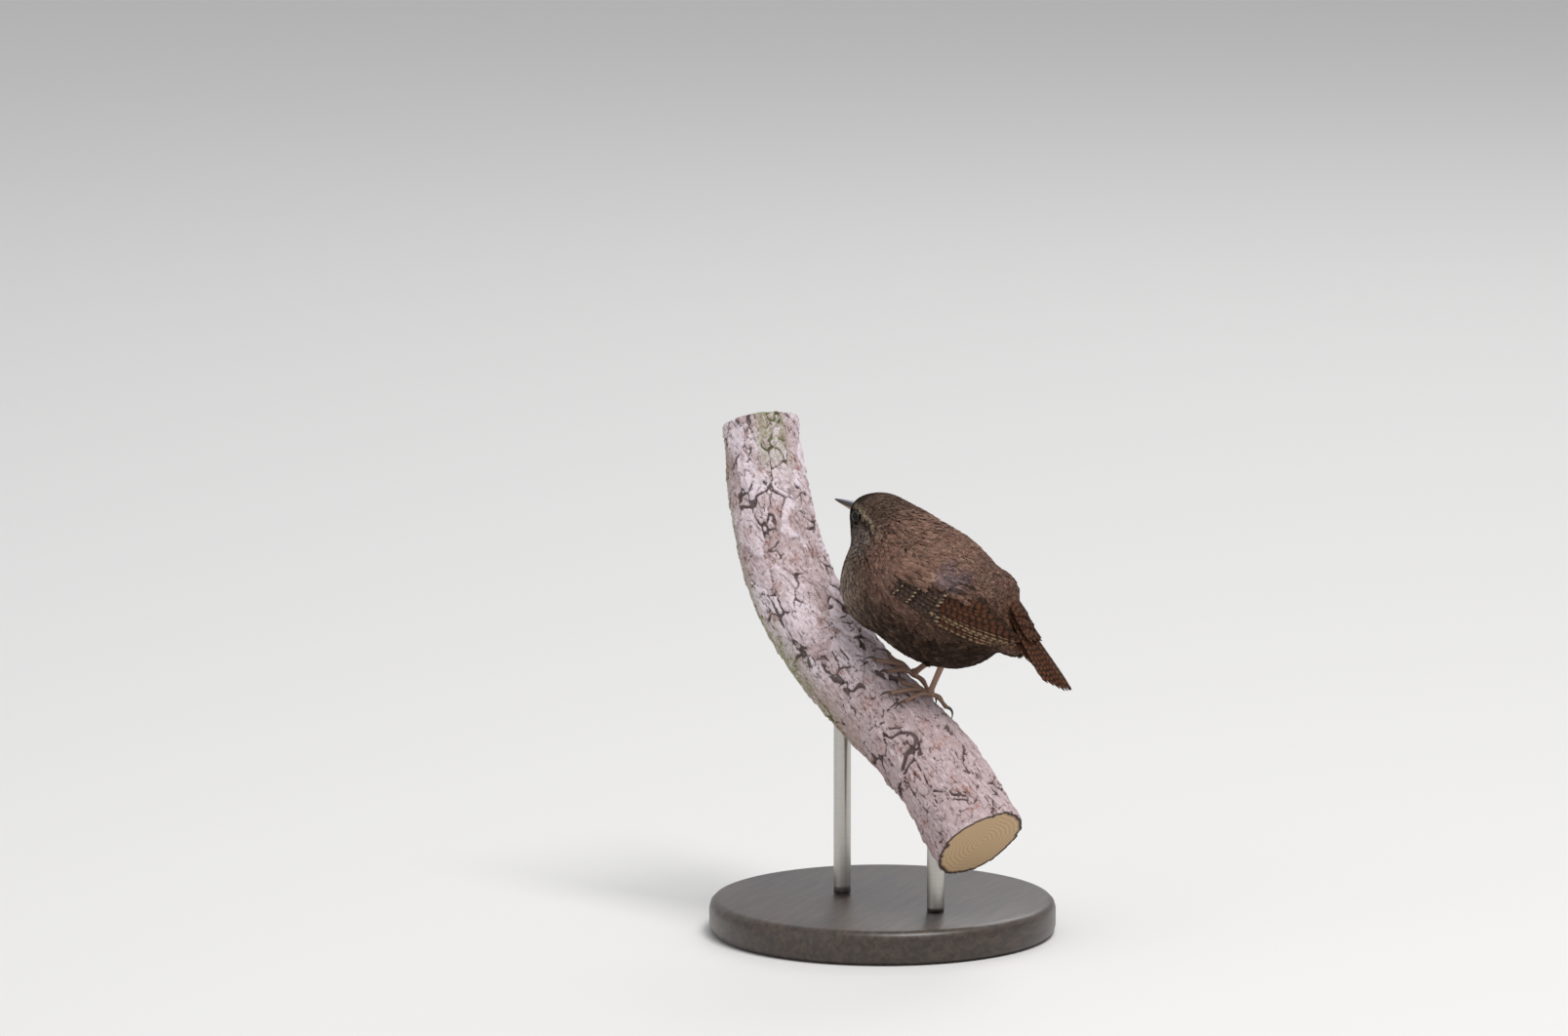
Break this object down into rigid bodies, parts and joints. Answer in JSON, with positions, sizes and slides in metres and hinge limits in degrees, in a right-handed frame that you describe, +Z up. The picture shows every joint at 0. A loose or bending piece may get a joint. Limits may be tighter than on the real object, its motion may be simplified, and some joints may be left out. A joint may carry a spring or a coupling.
{
  "type": "perched wren model",
  "caption": "Life-size still wren with its head turned, gripping a sloping cut branch that rods hold over a round base.",
  "frame": {"origin": "middle of the stand base's underside", "axes": "+Z up, the bird faces -Y and its left side is +X"},
  "size_m": [0.1, 0.1196, 0.1464],
  "materials": {
    "crown": "dense soft plumage, dark brown with fine streaks",
    "nape": "dense soft plumage, dark brown",
    "back": "dense soft plumage, brown with fine bars",
    "wing": "flight and covert feathers, rufous brown barred dark",
    "tail": "tail feathers, rufous brown barred dark",
    "horn": "smooth horn, grey",
    "horn_pale": "smooth horn, pale",
    "eye": "wet and nearly black",
    "leg": "scaly skin, pinkish brown",
    "claw": "horn, dark brown",
    "bark": "flaking bark with sawn ends",
    "stand": "turned and stained dark",
    "rod": "plain round rod"
  },
  "bodies": {
    "root": {"bill_lower": "horn_pale", "bill_upper": "horn", "claw_left_hind": "claw", "claw_left_inner": "claw", "claw_left_middle": "claw", "claw_left_outer": "claw", "claw_right_hind": "claw", "claw_right_inner": "claw", "claw_right_middle": "claw", "claw_right_outer": "claw", "eye_left": "eye", "eye_right": "eye", "foot_left": "leg", "foot_right": "leg", "head": "crown", "leg_left": "leg", "leg_right": "leg", "neck": "nape", "perch": "bark", "stand_base": "stand", "stand_rod_front": "rod", "stand_rod_rear": "rod", "tail": "tail", "torso": "back", "wing_left": "wing", "wing_right": "wing"}
  },
  "joints": []
}
